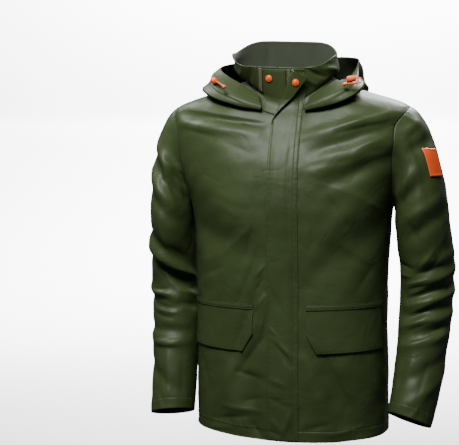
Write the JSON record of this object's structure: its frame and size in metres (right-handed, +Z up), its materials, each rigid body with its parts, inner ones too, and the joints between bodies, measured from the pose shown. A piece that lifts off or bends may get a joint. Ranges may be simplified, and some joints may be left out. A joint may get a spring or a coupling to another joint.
{
  "type": "raincoat",
  "caption": "Hooded raincoat in coated cloth, hollow and filled out as if worn, with a storm flap turned back at the throat, flap pockets and a hood hanging open behind the neck.",
  "frame": {"origin": "midway between the two high shoulder points, inside the neck opening, where the coat hangs from the wearer's neck", "axes": "+Z up from the hem to the collar, -Y out of the coat's front, +X to the wearer's left"},
  "size_m": [0.6474, 0.3213, 0.8329],
  "materials": {
    "shell_cloth": "semi-gloss coated",
    "hood_cloth": "semi-gloss coated",
    "trim_cloth": "semi-gloss coated",
    "zip_tape": "woven, matt",
    "badge": "matt",
    "snap": "gloss",
    "cord_lock": "satin",
    "cord_end": "satin",
    "cord": "braided, matt"
  },
  "bodies": {
    "root": {"front_left": "shell_cloth", "front_right": "shell_cloth", "back": "shell_cloth", "sleeve_left": "shell_cloth", "sleeve_right": "shell_cloth", "collar": "trim_cloth", "hood": "hood_cloth", "storm_flap": "trim_cloth", "under_placket": "trim_cloth", "zip_left": "zip_tape", "zip_right": "zip_tape", "pocket_flap_left": "trim_cloth", "pocket_flap_right": "trim_cloth", "pocket_band_left": "trim_cloth", "pocket_band_right": "trim_cloth", "badge": "badge", "snap_flap": "snap", "snap_placket": "snap", "cord_lock_left": "cord_lock", "cord_lock_right": "cord_lock", "cord_left": "cord", "cord_right": "cord", "cord_end_left": "cord_end", "cord_end_right": "cord_end"}
  },
  "joints": []
}
